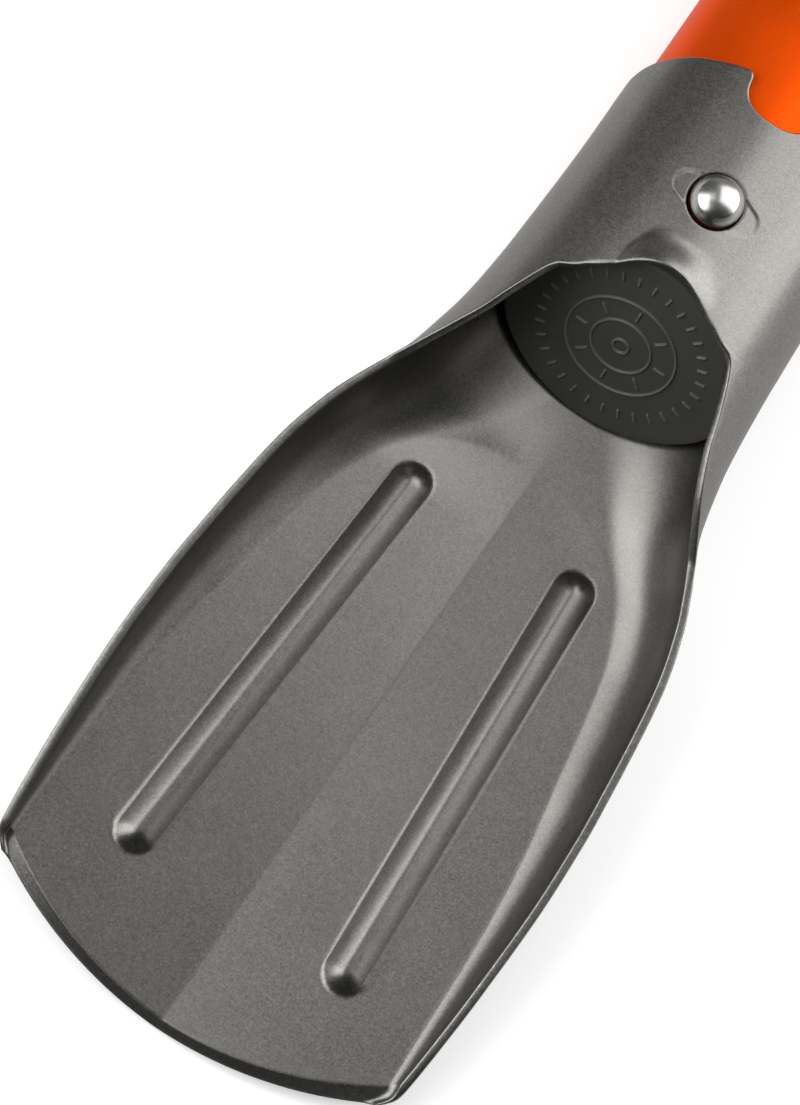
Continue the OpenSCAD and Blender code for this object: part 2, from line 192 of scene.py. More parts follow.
class Sheet:
    """Collects vertices and quads, with one 0 to 1 value a vertex for edge wear and for the lid dial's
    painted highlight.
    """

    def __init__(self):
        self.points, self.wear, self.quads, self.caps, self.count = [], [], [], [], 0

    def add(self, points, wear=0.0):
        points = np.asarray(points, float)
        shape = points.shape[:-1]
        index = self.count + np.arange(int(np.prod(shape))).reshape(shape)
        self.points.append(points.reshape(-1, 3))
        self.wear.append(np.broadcast_to(wear, shape).reshape(-1))
        self.count += index.size
        return index

    def grid(self, index, flip=False, skip=None):
        a, b, c, d = index[:-1, :-1], index[:-1, 1:], index[1:, 1:], index[1:, :-1]
        quads = np.stack([a, d, c, b] if flip else [a, b, c, d], axis=-1)
        quads = quads[~skip] if skip is not None else quads.reshape(-1, 4)
        self.quads.append(quads.reshape(-1, 4))

    def tube(self, rows, capped=False):
        """Joins rows of closed rings, and closes the first and last with a flat face if capped."""
        self.grid(np.concatenate([rows, rows[:, :1]], axis=1))
        if capped:
            self.caps += [rows[0], rows[-1]]

    def rounded_edge(self, inner, outer, beyond, radius, steps=3):
        """Closes the sheet's edge between two closed loops of vertices, with rounded corners.
        beyond is a loop of points on the sheet's side, which says which way is out."""
        points = np.concatenate(self.points)
        i, o, back = points[inner], points[outer], points[beyond]
        middle = (i + o) / 2
        along = np.roll(middle, -1, 0) - np.roll(middle, 1, 0)
        over = o - i
        thick = np.linalg.norm(over, axis=1, keepdims=True)
        over = over / thick
        out = np.cross(along, over)
        out /= np.linalg.norm(out, axis=1, keepdims=True)
        out *= -np.sign(np.sum(out * (back - middle), axis=1, keepdims=True))
        r = np.minimum(radius, CORNER_SHARE * thick)
        rings = [inner]
        turns = np.linspace(0, math.pi / 2, steps + 1)[1:]
        for a in turns:
            rings.append(self.add(i + out * r * math.sin(a) + over * r * (1 - math.cos(a)), 1.0))
        for a in turns[::-1]:
            rings.append(self.add(o + out * r * math.sin(a) - over * r * (1 - math.cos(a)), 1.0))
        rings.append(outer)
        self.tube(np.stack(rings))

    def rounded_hole(self, inner, outer, radius):
        """Closes the sheet round a hole, whose two loops lie inside the sheet."""
        loop = np.concatenate(self.points)[inner]
        away = self.add(2 * loop - loop.mean(0))
        self.rounded_edge(inner, outer, away, radius)

    def build(self, name):
        points = np.concatenate(self.points)
        quads = np.concatenate(self.quads)
        used, where = np.unique(quads, return_inverse=True)
        faces = where.reshape(-1, 4).tolist() + [np.searchsorted(used, cap).tolist() for cap in self.caps]
        mesh = bpy.data.meshes.new(name)
        mesh.from_pydata((points[used] * MM).tolist(), [], faces)
        wear = mesh.attributes.new("wear", "FLOAT", "POINT")
        wear.data.foreach_set("value", np.concatenate(self.wear)[used].astype(np.float32))
        mesh.validate()
        tidy_normals(mesh)
        mesh.shade_smooth()
        obj = bpy.data.objects.new(name, mesh)
        bpy.context.scene.collection.objects.link(obj)
        return obj


def tidy_normals(mesh):
    work = bmesh.new()
    work.from_mesh(mesh)
    bmesh.ops.recalc_face_normals(work, faces=work.faces)
    work.to_mesh(mesh)
    work.free()


# ---------------------------------------------------------------- blade shell


def sag(x):
    """How far the digging edge falls back at x."""
    return TIP_R - np.sqrt(TIP_R**2 - np.asarray(x, float) ** 2)


def inner_half(s):
    """Half width of the inner face. The blade's leaning wall is WALL_LEAN across, and the neck's SHEET."""
    return through(WIDTHS, s) - mix(WALL_LEAN, SHEET, across_span(s, UPRIGHT))


def floor_slope(s):
    return PANEL_SLOPE * (1 - across_span(s, LEVEL))


ARCH_S = np.linspace(0, ARCH_END, 400)
ARCH_X = through(PANELS, ARCH_S)


def arch_rise(x, s):
    """The floor turns up a little all along the panels' arched edge."""
    gap = np.hypot(x[:, None] - ARCH_X, s - ARCH_S).min(axis=1)
    gap = np.where((x > float(through(PANELS, s))) | (s > ARCH_END), gap, 0)
    rise = ARCH_KINK * ARCH_FADE * (1 - np.exp(-gap / ARCH_FADE)) * ease(x / ARCH_SOFT)
    return rise * across_span(s, ARCH_IN) * (1 - across_span(s, ARCH_OUT))


def half_section(s):
    """The inner face's right half at s, and the distance along it of the flat panel's edge."""
    w, rim = float(inner_half(s)), float(through(RIMS, s))
    begin = min(float(through(STARTS, s)), w - FILLET_MIN)
    share, slope = float(through(FILLETS, s)), float(floor_slope(s))
    top = np.array([w, min(rim, AXIS_Z)])
    start = np.array([begin, SHEET + begin * slope])
    corner = np.array([w, SHEET + w * slope])
    floor = np.stack([np.linspace(0, begin, 41), np.linspace(SHEET, start[1], 41)], axis=1)
    parts = [floor[:-1]] if begin > 0.01 else []
    parts.append(conic(start, corner, mix(corner, top, share), np.linspace(0, 1, 60)))
    if share < 1:
        parts.append([top])
    if rim > AXIS_Z:
        turn = np.linspace(0, math.asin((rim - AXIS_Z) / BORE_B), 50)[1:]
        parts.append(np.stack([w * np.cos(turn), AXIS_Z + BORE_B * np.sin(turn)], axis=1))
    line = np.concatenate(parts)
    fade = 1 - ease((line[:, 1] - corner[1]) / (top[1] - corner[1]))
    line[:, 1] += arch_rise(line[:, 0], s) * fade
    return line, min(float(through(PANELS, s)), begin) * math.hypot(1, slope)


# How many columns lie between the middle, the rib's two sides, the panel's edge and the rim. Past RIB_END
# they keep the shares that they have there.
COLUMNS = (34, 32, 16, 60)
RIB_END = 94.6


def rib_centre(s):
    return RIB_X - (s - RIB_MID) * math.tan(RIB_SPLAY)


def column_marks(s):
    """Where the rib's sides and the panel's edge lie along the half section, as shares of it."""
    line, flat = half_section(s)
    half = RIB_W / 2 / math.cos(RIB_SPLAY)
    stretch = math.hypot(1, float(floor_slope(s)))
    total = run_lengths(line)[-1]
    rib_in, rib_out = (rib_centre(s) - half) * stretch, (rib_centre(s) + half) * stretch
    return np.array([0, rib_in, rib_out, max(flat, rib_out + FILLET_MIN), total]) / total


def section_columns(s):
    """The full inner section at s from the left rim to the right rim, with its columns on the marks."""
    line, _ = half_section(s)
    run = run_lengths(line)
    marks = column_marks(min(s, RIB_END)) * run[-1]
    half = at_lengths(line, run, knots(marks, COLUMNS))
    return np.concatenate([half[:0:-1] * [-1, 1], half])


def outward(row, closed):
    """Unit normals of a row in its own plane, pointing out of the scoop's back."""
    if closed:
        d = np.roll(row, -1, 0) - np.roll(row, 1, 0)
    else:
        d = np.gradient(row, axis=0)
    n = np.stack([d[:, 2], np.zeros(len(d)), -d[:, 0]], axis=1)
    return n / np.linalg.norm(n, axis=1, keepdims=True)


# How blunt a rib's crown is along its middle and at its ends, how far from RIB_MID it changes from one to the
# other, and the size of the fillet at its foot.
RIB_CROWN, RIB_CHANGE = (1.6, 3.0), (RIB_L / 2 - 10, RIB_L / 2 - 3)
RIB_FOOT = 0.05


def ribs(p):
    """Height of the two stiffening ribs: a rounded ridge across, with round ends and a fillet at the foot."""
    dy = p[:, 1] - RIB_MID
    across = (np.abs(p[:, 0]) - RIB_X + dy * math.tan(RIB_SPLAY)) * math.cos(RIB_SPLAY)
    along = np.maximum(0, np.abs(dy) - (RIB_L - RIB_W) / 2)
    r, half = np.hypot(across, along), RIB_W / 2
    crown = mix(*RIB_CROWN, across_span(np.abs(dy), RIB_CHANGE))
    flank = np.sqrt(RIB_H**2 + 2 * RIB_H * crown) / half
    h = RIB_H + crown - np.hypot(crown, flank * r)
    return np.where(p[:, 2] < AXIS_Z / 2, 0.5 * (h + np.hypot(h, RIB_FOOT)), 0)


# The ramp's height, length and half width, where it starts, and the share of its width that it loses. It is
# RAMP_SPREAD times wider to the right. The last two shape its flanks, of which the left one is the steeper.
RAMP_H, RAMP_L, RAMP_X, RAMP_FROM, RAMP_TAPER = 2.5, 6.5, 7.2, COLLAR_AT + COLLAR_RISE - 0.8, 0.3
RAMP_SPREAD, RAMP_LEFT, RAMP_RIGHT = 1.3, 0.95, 2


def ramp(p):
    """The outward lead-in at the collar's middle, which tapers towards the button."""
    t = np.clip((p[:, 1] - RAMP_FROM) / RAMP_L, 0, 1)
    left = p[:, 0] < 0
    half = RAMP_X * (1 - RAMP_TAPER * t) * np.where(left, 1, RAMP_SPREAD)
    across = np.cos(math.pi / 2 * np.minimum(1, np.abs(p[:, 0]) / half))
    across **= np.where(left, RAMP_LEFT, RAMP_RIGHT)
    return np.where(p[:, 2] > AXIS_Z, RAMP_H * across * (1 - ease(t)), 0)


# The eye mark: place and radius of its two ends, half width at the hole, depth, and width of its edge.
EYE_X, EYE_R, EYE_WAIST, EYE_DEPTH, EYE_EDGE = 5.2, 2.1, HOLE_R - 0.4, 0.15, 0.24


def eye(p):
    """Depth of the struck mark round the lock hole: a ball at each end, with straight flanks between."""
    x, y = np.abs(p[:, 0]), np.abs(p[:, 1] - BUTTON_AT)
    flank = math.asin((EYE_WAIST - EYE_R) / EYE_X)
    side = x * math.sin(flank) + y * math.cos(flank) - EYE_WAIST
    ball = np.hypot(x - EYE_X, y) - EYE_R
    edge = np.where(x > EYE_X + EYE_R * math.sin(flank), ball, side)
    return EYE_DEPTH * (1 - ease(edge / EYE_EDGE + 0.5)) * (p[:, 2] > AXIS_Z)


# How far the collar's edge is turned from square, and where that fades in up the walls and along the rims.
SKEW = math.tan(math.radians(6.3))
SKEW_RISE, SKEW_RUN = (10, 25), (108, COLLAR_AT)


def lean(x, z):
    """How far the turned collar's edge shifts a point along the handle's axis."""
    return SKEW * x * across_span(z, SKEW_RISE)


def mouth_y(z):
    """The neck's slanted mouth."""
    return MOUTH_AT + (z - AXIS_Z) * SLANT


# The collar's corner as an angle round the bore, how far from the middle its edge stops falling back, and how
# close to the corner the edge is bent to meet the rim.
CORNER_TURN = math.asin((RIMS[-1][1] - AXIS_Z) / BORE_B)
COLLAR_X = 15.0
COLLAR_BEND = 2.0


def collar_y(x):
    """The collar's front edge, which stands back from its corners in the middle."""
    return COLLAR_AT + COLLAR_RISE * np.cos(math.pi / 2 * np.minimum(1, np.abs(x) / COLLAR_X)) ** 2


# Radius of a cut edge's corners, and half width of the square of the grid that is warped round the hole.
EDGE_R = 0.28
ZONE = 9.0
HOLE_SQUARE = HOLE_R + EDGE_R
ZONE_COUNTS = (14, 14, 34, 14, 14)
FRONT_COLS = sum(ZONE_COUNTS)
RING_COUNTS = (12, 14, 34, 14, 40)


def front_x(corner_x):
    """The front patch's columns, from +X to -X, with lines on the hole's square."""
    marks = [corner_x, ZONE, HOLE_SQUARE, -HOLE_SQUARE, -ZONE, -corner_x]
    return knots(marks, ZONE_COUNTS)


def round_hole(x, y, centre_y):
    """Warps square rings of the grid into circles round the hole, fading out at the zone's edge."""
    dx, dy = x, y - centre_y
    ring, far = np.maximum(np.abs(dx), np.abs(dy)), np.maximum(np.hypot(dx, dy), 1e-9)
    t = np.clip((ZONE - ring) / (ZONE - HOLE_SQUARE), 0, 1)
    k = mix(1, ring / far, t)
    return dx * k, centre_y + dy * k


def notch_line(corner_x):
    """The mouth's front edge in plan from +X to the middle: x, and how far it drops back."""
    a = np.linspace(0, math.pi / 2, 16)
    lip_arc = np.stack([NOTCH_R + NOTCH_LIP * (1 - np.sin(a)), NOTCH_LIP * (1 - np.cos(a))], axis=1)
    b, power = np.linspace(0, math.pi / 2, 60), 2 / NOTCH_POWER
    bowl = np.stack([NOTCH_R * np.cos(b) ** power, NOTCH_L * np.sin(b) ** power], axis=1)
    bowl = bowl[bowl[:, 1] > NOTCH_LIP]
    return np.concatenate([[[corner_x, 0]], lip_arc, bowl])


def front_mouth(corner_x, n):
    """The whole of that edge from +X to -X, in n even steps."""
    half = notch_line(corner_x)
    run = run_lengths(half)
    line = at_lengths(half, run, np.linspace(0, run[-1], n // 2 + 1))
    return np.concatenate([line, line[-2::-1] * [-1, 1]])


def bore_z(x, w):
    """Height of the bore's front half at x, where it is w across to each side."""
    return AXIS_Z + BORE_B * np.sqrt(np.maximum(1 - (x / w) ** 2, 0))


BEVEL_ROWS, OPEN_ROWS = 8, 236
# The sections at the digging edge and behind its ground facet, and where the tip's corner lies.
EDGE_SECTION, FACET_SECTION = 9.1, 13.3
CORNER_X = 35.6
# The ground facet's width in the middle, and how much wider it is at BEVEL_X to the left and to the right.
BEVEL, BEVEL_LEFT, BEVEL_RIGHT, BEVEL_X = 1.1, 1.3, 2.0, 36.0


def bevel(x):
    """Width of the ground facet behind the digging edge, which grows towards the corners."""
    return BEVEL + np.where(np.asarray(x) < 0, BEVEL_LEFT, BEVEL_RIGHT) * (np.abs(x) / BEVEL_X) ** 2


def open_rows():
    """Inner-face rows from the digging edge to just short of the collar, and each row's thickness."""
    rows, thick = [], []
    corner = float(sag(CORNER_X) + bevel(CORNER_X))
    for t in np.linspace(0, 1, BEVEL_ROWS + 1)[:-1]:
        station = mix(EDGE_SECTION, FACET_SECTION, t)
        line = section_columns(station)
        x = line[:, 0]
        rows.append(np.stack([x, sag(x) + t * bevel(x), line[:, 1]], axis=1))
        thick.append(mix(EDGE_T, SHEET, t))
    for s in np.linspace(0, COLLAR_AT, OPEN_ROWS + 1)[:-1]:
        t = min(1.0, s / TIP_BLEND)
        station = mix(corner, TIP_BLEND, t) if s < TIP_BLEND else s
        line = section_columns(station)
        x = line[:, 0]
        start = sag(x) + bevel(x)
        y = mix(start, TIP_BLEND, t) if s < TIP_BLEND else np.full_like(x, s)
        y = y + lean(x, line[:, 1]) * across_span(s, SKEW_RUN)
        rows.append(np.stack([x, y, line[:, 1]], axis=1))
        thick.append(SHEET)
    return rows, thick


def ring_rows():
    """Inner-face rows of the neck, each a closed ring: the open section's columns, then the front's."""
    lo = COLLAR_AT + COLLAR_RISE
    hi = float(mouth_y(NECK_D))
    y1, y2 = BUTTON_AT - ZONE, BUTTON_AT + ZONE
    f1, f2 = (y1 - lo) / (hi - lo), (y2 - lo) / (hi - lo)
    half = (ZONE - HOLE_SQUARE) / (2 * ZONE) * (f2 - f1)
    shares = knots([0, f1, f1 + half, f2 - half, f2, 1], RING_COUNTS)
    rows = []
    for f in shares:
        s = mix(COLLAR_AT, MOUTH_AT, f)
        w = float(inner_half(s))
        sides = section_columns(s)
        corner_x = w * math.cos(CORNER_TURN)
        x = front_x(corner_x)
        step = (collar_y(corner_x) - COLLAR_AT) * (1 - ease((corner_x - np.abs(x)) / COLLAR_BEND))
        low, high = collar_y(x) - step + SKEW * x, mouth_y(bore_z(x, w))
        centre = 1 - ease((np.abs(x) - ZONE) / (corner_x - ZONE))
        k1 = mix(mix(low, high, f1), y1, centre)
        k2 = mix(mix(low, high, f2), y2, centre)
        y = np.where(
            f <= f1, mix(low, k1, f / f1),
            np.where(f <= f2, mix(k1, k2, (f - f1) / (f2 - f1)), mix(k2, high, (f - f2) / (1 - f2))),
        )
        if f > f2:
            g = (f - f2) / (1 - f2)
            edge = front_mouth(corner_x, FRONT_COLS)
            end_y = mouth_y(bore_z(edge[:, 0], w)) - edge[:, 1] - EDGE_R
            y = mix(k2, end_y, g)
            x = mix(x, edge[:, 0], g)
        else:
            x, y = round_hole(x, y, BUTTON_AT)
        side_y = mix(COLLAR_AT + lean(sides[:, 0], sides[:, 1]), mouth_y(sides[:, 1]) - EDGE_R * f, f)
        side = np.stack([sides[:, 0], side_y, sides[:, 1]], axis=1)
        front = np.stack([x, y, bore_z(x, w)], axis=1)[1:-1]
        rows.append((np.concatenate([side, front]), w))
    return rows, shares


# Over this height a ring's outer face keeps the columns of its inner face, so that the hole's wall is square.
FRONT_Z = AXIS_Z + 8


def square_loop(r, k0, k1, j0, j1):
    """The closed loop of vertices round a square of the grid."""
    return np.concatenate([r[k0, j0:j1], r[k0:k1, j1], r[k1, j1:j0:-1], r[k1:k0:-1, j0]])


def make_blade_shell():
    """The scoop and neck as one sheet: an open part and a ring, each with an inner and an outer face."""
    sheet = Sheet()
    rows, thick = open_rows()
    inner, outer = [], []
    for row, t in zip(rows, thick):
        n = outward(row, False)
        base = row - n * ribs(row)[:, None]
        inner.append(base + n * (SHEET - t))
        outer.append(base + n * SHEET)
    rings, shares = ring_rows()
    open_cols = rows[0].shape[0]
    ring_in, ring_out = [], []
    for ring, w in rings:
        n = outward(ring, True)
        lift = ramp(ring)[:, None]
        out = ring + n * SHEET
        x = out[:, 0]
        straight = 1 - ease((np.abs(ring[:, 0]) - ZONE) / (COLLAR_X - ZONE))
        straight = np.where(ring[:, 2] > FRONT_Z, straight, 0)
        x = mix(x, ring[:, 0], straight)
        z = AXIS_Z + (BORE_B + SHEET) * np.sqrt(np.maximum(1 - (x / (w + SHEET)) ** 2, 0))
        out = np.stack([x, out[:, 1], mix(out[:, 2], z, straight)], axis=1)
        ring_in.append(ring + n * lift)
        ring_out.append(out + n * (lift - eye(out)[:, None]))
    a_in, a_out = sheet.add(np.stack(inner)), sheet.add(np.stack(outer))
    r_in, r_out = sheet.add(np.stack(ring_in)), sheet.add(np.stack(ring_out))
    for a, r, flip in ((a_in, r_in, True), (a_out, r_out, False)):
        sheet.grid(a, flip)
        sheet.grid(np.stack([a[-1], r[0, :open_cols]]), flip)
        closed = np.concatenate([r, r[:, :1]], axis=1)
        skip = np.zeros((closed.shape[0] - 1, closed.shape[1] - 1), bool)
        row_marks = np.cumsum((0,) + RING_COUNTS)
        col_marks = open_cols - 1 + np.cumsum((0,) + ZONE_COUNTS)
        skip[row_marks[2] : row_marks[3], col_marks[2] : col_marks[3]] = True
        sheet.grid(closed, flip, skip)

    def outline(a, r):
        """The scoop's one edge: digging edge, right rim, collar, left rim."""
        return np.concatenate([a[0], a[1:, -1], r[0, open_cols - 1 :], r[0, :1], a[:0:-1, 0]])

    def inside(a, r):
        across = r[1, open_cols - 1 :]
        return np.concatenate([a[1], a[1:, -2], across, r[1, :1], a[:0:-1, 1]])

    sheet.rounded_edge(outline(a_in, r_in), outline(a_out, r_out), inside(a_in, r_in), EDGE_R)
    sheet.rounded_edge(r_in[-1], r_out[-1], r_in[-2], EDGE_R)

    square = row_marks[2], row_marks[3], col_marks[2], col_marks[3]
    hole_in, hole_out = (square_loop(r, *square) for r in (r_in, r_out))
    sheet.rounded_hole(hole_in, hole_out, EDGE_R)
    sheet.points = [p + [0, TIP_Y, 0] for p in sheet.points]
    return sheet.build("shell")


shell = make_blade_shell()
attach(shell, "blade")
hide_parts("blade_shell")

# ---------------------------------------------------------------- handle, lid and button

# The tube's half width, half depth, end radius and wall.
TUBE_A, TUBE_B, TUBE_R, TUBE_T = 20.2, 15.45, 12.4, 0.8
SIDE = TUBE_A - TUBE_R
BIG = (SIDE**2 + TUBE_B**2 - TUBE_R**2) / (2 * (TUBE_B - TUBE_R))
DROP = BIG - TUBE_B
JOIN = math.atan2(DROP, SIDE)
LID_AT, LID_T = 123.4, 2.0
TUBE_FROM = LID_AT + LID_T / math.cos(math.radians(30))
TUBE_TO = TUBE_HI[1] - TIP_Y
END_AT = CAP_HI[1] - TIP_Y
LIP_R = 0.2
# Points round the cap and the seal, and round the lid with its finer dial.
OVAL_POINTS, LID_POINTS = 240, 768

# A name that ends in IN is an inset from the tube's outside, and a core is the smallest oval of a closed end.
# The cap: how far it stands proud, its face's step and dish, and its plug with the gap in the tube.
CAP_PROUD, CAP_STEP, CAP_STEP_IN = 0.8, 1.0, 0.4
CAP_DISH, CAP_FLOOR_IN, CAP_BRIM_IN, CAP_CORE_IN = 0.5, 5, 4.4, TUBE_R - 0.4
CAP_PLUG, CAP_WALL, CAP_GAP = 12.0, 2.0, 0.02
# The lid: its soft-edged face, its skirt and the seal's groove.
LID_EDGE_IN, LID_FACE_IN, LID_CORE_IN = 0.1, (2.4, 1.5), TUBE_R - 0.6
SKIRT_GAP, SKIRT_WALL, SKIRT_TO = 0.15, 2.2, 138.5
GROOVE_FROM, GROOVE_TO, GROOVE_IN, SEAL_GAP = 134.9, 136.7, TUBE_T + 1.4, 0.1


def oval(inset, phi):
    """Points of the tube's oval, x and height over the axis, where its normal stands at the angles phi."""
    c, s = np.cos(phi), np.sin(phi)
    narrow = np.abs(c) > math.cos(JOIN)
    x = np.where(narrow, np.sign(c) * SIDE + (TUBE_R - inset) * c, (BIG - inset) * c)
    z = np.where(narrow, (TUBE_R - inset) * s, (BIG - inset) * s - np.sign(s) * DROP)
    return x, z


def soften(points, radius, steps=4):
    """A polyline with its corners rounded."""
    points = [np.array(p, float) for p in points]
    line = [points[0]]
    for before, at, after in zip(points, points[1:], points[2:]):
        a, b = before - at, after - at
        la, lb = np.linalg.norm(a), np.linalg.norm(b)
        r = min(radius, 0.45 * la, 0.45 * lb)
        line += [at + a / la * r * (1 - t) ** 2 + b / lb * r * t**2 for t in np.linspace(0, 1, steps + 1)]
    return np.array(line + [points[-1]])


def oval_rings(profile, n):
    """A ring for each (inset, distance, slant) of a profile along the handle."""
    phi = np.linspace(0, 2 * math.pi, n, endpoint=False)
    rings = []
    for inset, y, slant in profile:
        x, z = oval(inset, phi)
        rings.append(np.stack([x, TIP_Y + y + slant * z * SLANT, AXIS_Z + z], axis=1))
    return np.stack(rings)


def make_end_cap():
    """The proud cap with its stepped end face, and the hollow plug inside the tube."""
    wall, plug = TUBE_T + CAP_GAP, TUBE_TO - CAP_PLUG
    step, dish = END_AT - CAP_STEP, END_AT - CAP_DISH
    profile = soften(
        [
            (CAP_CORE_IN, dish, 0), (CAP_FLOOR_IN, dish, 0), (CAP_BRIM_IN, END_AT, 0),
            (CAP_STEP_IN, END_AT, 0), (CAP_STEP_IN, step, 0), (-CAP_PROUD, step, 0), (-CAP_PROUD, TUBE_TO, 0),
            (wall, TUBE_TO, 0), (wall, plug, 0), (wall + CAP_WALL, plug, 0), (wall + CAP_WALL, TUBE_TO, 0),
            (CAP_CORE_IN, TUBE_TO, 0),
        ],
        radius=0.45,
    )
    sheet = Sheet()
    sheet.tube(sheet.add(oval_rings(profile, OVAL_POINTS)), capped=True)
    return sheet.build("cap")


def make_seal():
    """A rubber ring of square section with soft corners, round the lid's skirt."""
    near, far = GROOVE_FROM + SEAL_GAP, GROOVE_TO - SEAL_GAP
    outer, inner = TUBE_T + SEAL_GAP, GROOVE_IN - SEAL_GAP
    start = ((outer + inner) / 2, near, 0)
    section = [start, (outer, near, 0), (outer, far, 0), (inner, far, 0), (inner, near, 0), start]
    sheet = Sheet()
    rows = sheet.add(oval_rings(soften(section, radius=0.35)[:-1], OVAL_POINTS))
    sheet.tube(np.concatenate([rows, rows[:1]]))
    return sheet.build("seal")


DOME_R, DOME_EDGE, SHANK_R = 5.6, 3.15, 4.12
# The dome rolls over to the shank from a slope of ROLL_SLOPE, and the roll ends ROLL_DROP under its corner.
ROLL_SLOPE, ROLL_DROP = math.tan(math.radians(50)), 0.32
FLANGE_Z, SEAT_Z = 31.0, 29.8
TENON_R, HEAD_R, HEAD_Z = 1.5, 2.4, 28.95
# Above PLAY_Z the shank stands off centre, by the play that it has in the hole.
PLAY_Z, PLAY_X, PLAY_Y = 31.5, 0.12, 0.18


def make_button():
    """A flat dome with a rolled edge on its shank, the flange under the tube and the riveted tenon."""
    top, bottom = BUTTON_HI[2], BUTTON_LO[2]
    a = np.linspace(0.004, math.asin(DOME_EDGE / DOME_R), 26)
    dome = [(DOME_R * math.sin(t), top - DOME_R * (1 - math.cos(t))) for t in a]
    start = np.array([DOME_EDGE + 0.02, dome[-1][1] - 0.03])
    roll = SHANK_R - start[0]
    corner = start + [roll, -roll * ROLL_SLOPE]
    edge = [tuple(v) for v in conic(start, corner, corner - [0, ROLL_DROP], np.linspace(0, 1, 18))]
    shank = soften(
        [
            edge[-1], (SHANK_R, FLANGE_Z), (FLANGE_R, FLANGE_Z), (FLANGE_R, SEAT_Z), (TENON_R, SEAT_Z),
            (TENON_R, HEAD_Z), (HEAD_R, HEAD_Z), (HEAD_R, bottom), (0.05, bottom),
        ],
        radius=0.25,
    )
    profile = dome + edge + [tuple(v) for v in shank[1:]]
    turn = np.linspace(0, 2 * math.pi, 128, endpoint=False)
    sheet = Sheet()
    rings = []
    for r, z in profile:
        play = 1.0 if z > PLAY_Z else 0.0
        x, y = PLAY_X * play + r * np.cos(turn), PLAY_Y * play + r * np.sin(turn)
        rings.append(np.stack([x, TIP_Y + BUTTON_AT + y, np.full_like(turn, z)], axis=1))
    sheet.tube(sheet.add(np.stack(rings)), capped=True)
    return sheet.build("button")


# The dial's raised lines: height, width of the two flanks together, and half width of the flat top.
MARK_H, MARK_W, MARK_TOP = 0.32, 0.52, 0.06
# The radii of its rings, and the radius, length and number of its dashes.
DIAL_RINGS = (1.3, 5.0, 9.2)
DIAL_DASHES = ((13.6, 1.6, 32), (7.1, 2.0, 8))
# A dash's end slopes down over DASH_SLOPE, from DASH_END inside its length.
DASH_SLOPE, DASH_END = 0.3, 0.12
# The face has rows close together where a line or a dash rises and falls, and at PLAIN_RADII between them.
LINE_ROWS = np.linspace(-0.38, 0.38, 11)
DASH_ROWS = (-0.3, -0.15, 0, 0.15, 0.3)
PLAIN_RADII = [0.05, 0.5, 2.4, 3.2, 4.0, 6.8, 7.4, 10.2, 11.2, 12.2, 13.2, 13.8]


def ridge(gap):
    """Height share of a raised line at a distance from its middle."""
    return 1 - ease((np.abs(gap) - MARK_TOP) / (MARK_W / 2))


def dashes(r, turn, at, length, count):
    """A ring of raised radial lines round a circle of radius at."""
    step = 2 * math.pi / count
    off = (turn + step / 2) % step - step / 2
    return ridge(off * r) * (1 - ease((np.abs(r - at) - length / 2 + DASH_END) / DASH_SLOPE))


def dial(r, turn):
    """Height share of the whole dial at the radii r and the angles turn."""
    marks = [dashes(r, turn, *ring) for ring in DIAL_DASHES] + [ridge(r - ring) for ring in DIAL_RINGS]
    return np.max(marks, axis=0)


def make_lid():
    """A slanted flange with a soft edge and a raised dial, over a skirt with the seal's groove."""
    turn = np.linspace(0, 2 * math.pi, LID_POINTS, endpoint=False)
    c30, s30 = math.cos(math.radians(30)), math.sin(math.radians(30))
    near = [ring + d for ring in DIAL_RINGS for d in LINE_ROWS]
    ends = [at + k * length / 2 + d for at, length, _ in DIAL_DASHES for k in (-1, 1) for d in DASH_ROWS]
    sheet = Sheet()
    rows = []
    for r in sorted(PLAIN_RADII + near + ends):
        h = dial(np.full(LID_POINTS, r), turn)
        x, v = r * np.cos(turn), r * np.sin(turn)
        y = TIP_Y + LID_AT + v * s30 - MARK_H * h * c30
        # Each vertex also carries the dial's height share, which the black material turns into a painted
        # highlight along the raised lines.
        rows.append(sheet.add(np.stack([x, y, AXIS_Z + v * c30 + MARK_H * h * s30], axis=1), h))
    front, back = LID_AT, TUBE_FROM
    wall = TUBE_T + SKIRT_GAP
    hollow = wall + SKIRT_WALL
    body = soften(
        [
            (LID_FACE_IN[1], front, 1), (LID_EDGE_IN, front, 1), (LID_EDGE_IN, back, 1), (wall, back, 1),
            (wall, GROOVE_FROM, 0),
            (GROOVE_IN, GROOVE_FROM, 0), (GROOVE_IN, GROOVE_TO, 0), (wall, GROOVE_TO, 0),
            (wall, SKIRT_TO, 0), (hollow, SKIRT_TO, 0), (hollow, back, 1), (LID_CORE_IN, back, 1),
        ],
        radius=0.5,
    )
    profile = [(LID_FACE_IN[0], front, 1)] + [tuple(v) for v in body]
    rows += [sheet.add(ring) for ring in oval_rings(profile, LID_POINTS)]
    sheet.tube(np.stack(rows), capped=True)
    return sheet.build("lid")


# Columns round the tube from one side of the zone round the hole to the other, and rows along it.
TUBE_COLS = 221
TUBE_ROWS = (12, 14, 34, 14, 90)


